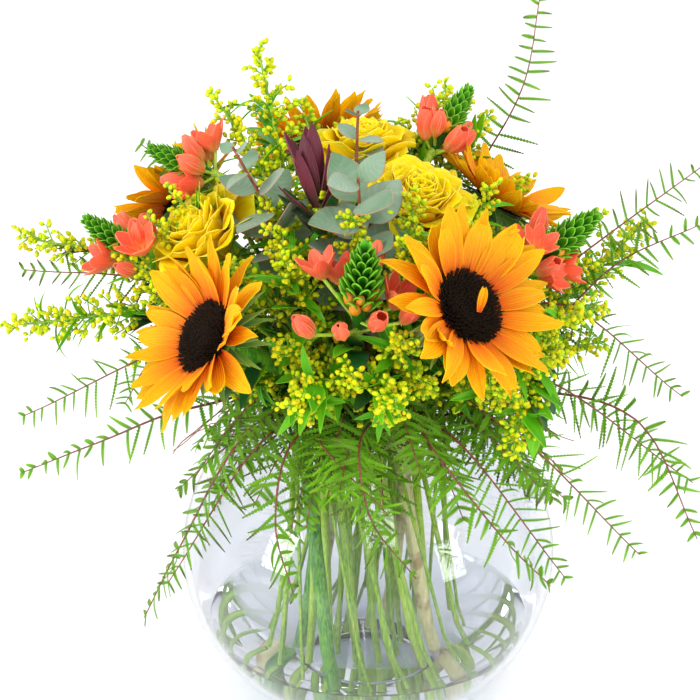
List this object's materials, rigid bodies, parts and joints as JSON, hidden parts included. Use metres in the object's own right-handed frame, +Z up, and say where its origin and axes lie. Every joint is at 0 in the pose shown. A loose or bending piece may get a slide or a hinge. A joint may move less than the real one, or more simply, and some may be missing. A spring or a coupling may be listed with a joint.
{
  "type": "sunflower bouquet in a glass vase",
  "caption": "Hand-tied bouquet of sunflowers with roses, star-of-Bethlehem, goldenrod, eucalyptus and coral fern, standing in a clear glass bubble bowl of water.",
  "frame": {"origin": "centre of the vase's foot, on the surface that it stands on", "axes": "+Z up; -Y is the front of the bouquet; +X to its right as seen from the front"},
  "size_m": [0.4226, 0.303, 0.4498],
  "materials": {
    "clear_glass": "clear, faint cool tint",
    "water": "clear water",
    "sunflower_petal": "satin, orange-yellow, redder at the base",
    "sunflower_disc": "matt, near-black brown florets",
    "sunflower_stem": "matt, finely haired green",
    "rose_petal": "satin, bright yellow, paler at the edges",
    "rose_stem": "satin, mid green",
    "ornithogalum_flower": "satin, coral to salmon orange, green buds",
    "ornithogalum_stem": "satin, fresh green",
    "goldenrod_spray": "matt, yellow-green buds with yellow tips",
    "eucalyptus_sprig": "matt bloom, grey-green with thin red margins",
    "leucadendron_leaf": "satin, burgundy",
    "fern_frond": "matt, bright green leaflets on red-brown stems"
  },
  "bodies": {
    "root": {"vase": "clear_glass", "water": "water", "sunflower_left_stem": "sunflower_stem", "sunflower_left_rays": "sunflower_petal", "sunflower_left_disc": "sunflower_disc", "sunflower_right_stem": "sunflower_stem", "sunflower_right_rays": "sunflower_petal", "sunflower_right_disc": "sunflower_disc", "sunflower_back_right_stem": "sunflower_stem", "sunflower_back_right_rays": "sunflower_petal", "sunflower_back_right_disc": "sunflower_disc", "sunflower_back_left_stem": "sunflower_stem", "sunflower_back_left_rays": "sunflower_petal", "sunflower_back_left_disc": "sunflower_disc", "sunflower_back_stem": "sunflower_stem", "sunflower_back_rays": "sunflower_petal", "sunflower_back_disc": "sunflower_disc", "rose_left_stem": "rose_stem", "rose_left_bloom": "rose_petal", "rose_right_stem": "rose_stem", "rose_right_bloom": "rose_petal", "rose_back_stem": "rose_stem", "rose_back_bloom": "rose_petal", "ornithogalum_centre_stem": "ornithogalum_stem", "ornithogalum_centre_raceme": "ornithogalum_flower", "ornithogalum_right_stem": "ornithogalum_stem", "ornithogalum_right_raceme": "ornithogalum_flower", "ornithogalum_left_stem": "ornithogalum_stem", "ornithogalum_left_raceme": "ornithogalum_flower", "ornithogalum_back_left_stem": "ornithogalum_stem", "ornithogalum_back_left_raceme": "ornithogalum_flower", "ornithogalum_back_right_stem": "ornithogalum_stem", "ornithogalum_back_right_raceme": "ornithogalum_flower", "goldenrod_front_left": "goldenrod_spray", "goldenrod_front_right": "goldenrod_spray", "goldenrod_middle": "goldenrod_spray", "goldenrod_over_rose": "goldenrod_spray", "goldenrod_right_low": "goldenrod_spray", "goldenrod_left_high": "goldenrod_spray", "goldenrod_left_low": "goldenrod_spray", "goldenrod_top_left": "goldenrod_spray", "goldenrod_top_right": "goldenrod_spray", "goldenrod_right": "goldenrod_spray", "goldenrod_back_right": "goldenrod_spray", "goldenrod_back_left": "goldenrod_spray", "eucalyptus_front": "eucalyptus_sprig", "eucalyptus_left": "eucalyptus_sprig", "eucalyptus_top": "eucalyptus_sprig", "eucalyptus_back": "eucalyptus_sprig", "leucadendron": "leucadendron_leaf", "fern_top_right": "fern_frond", "fern_right": "fern_frond", "fern_right_low": "fern_frond", "fern_front_right": "fern_frond", "fern_front": "fern_frond", "fern_front_left": "fern_frond", "fern_left_low": "fern_frond", "fern_left": "fern_frond", "fern_back_left": "fern_frond", "fern_back_right": "fern_frond"}
  },
  "joints": []
}
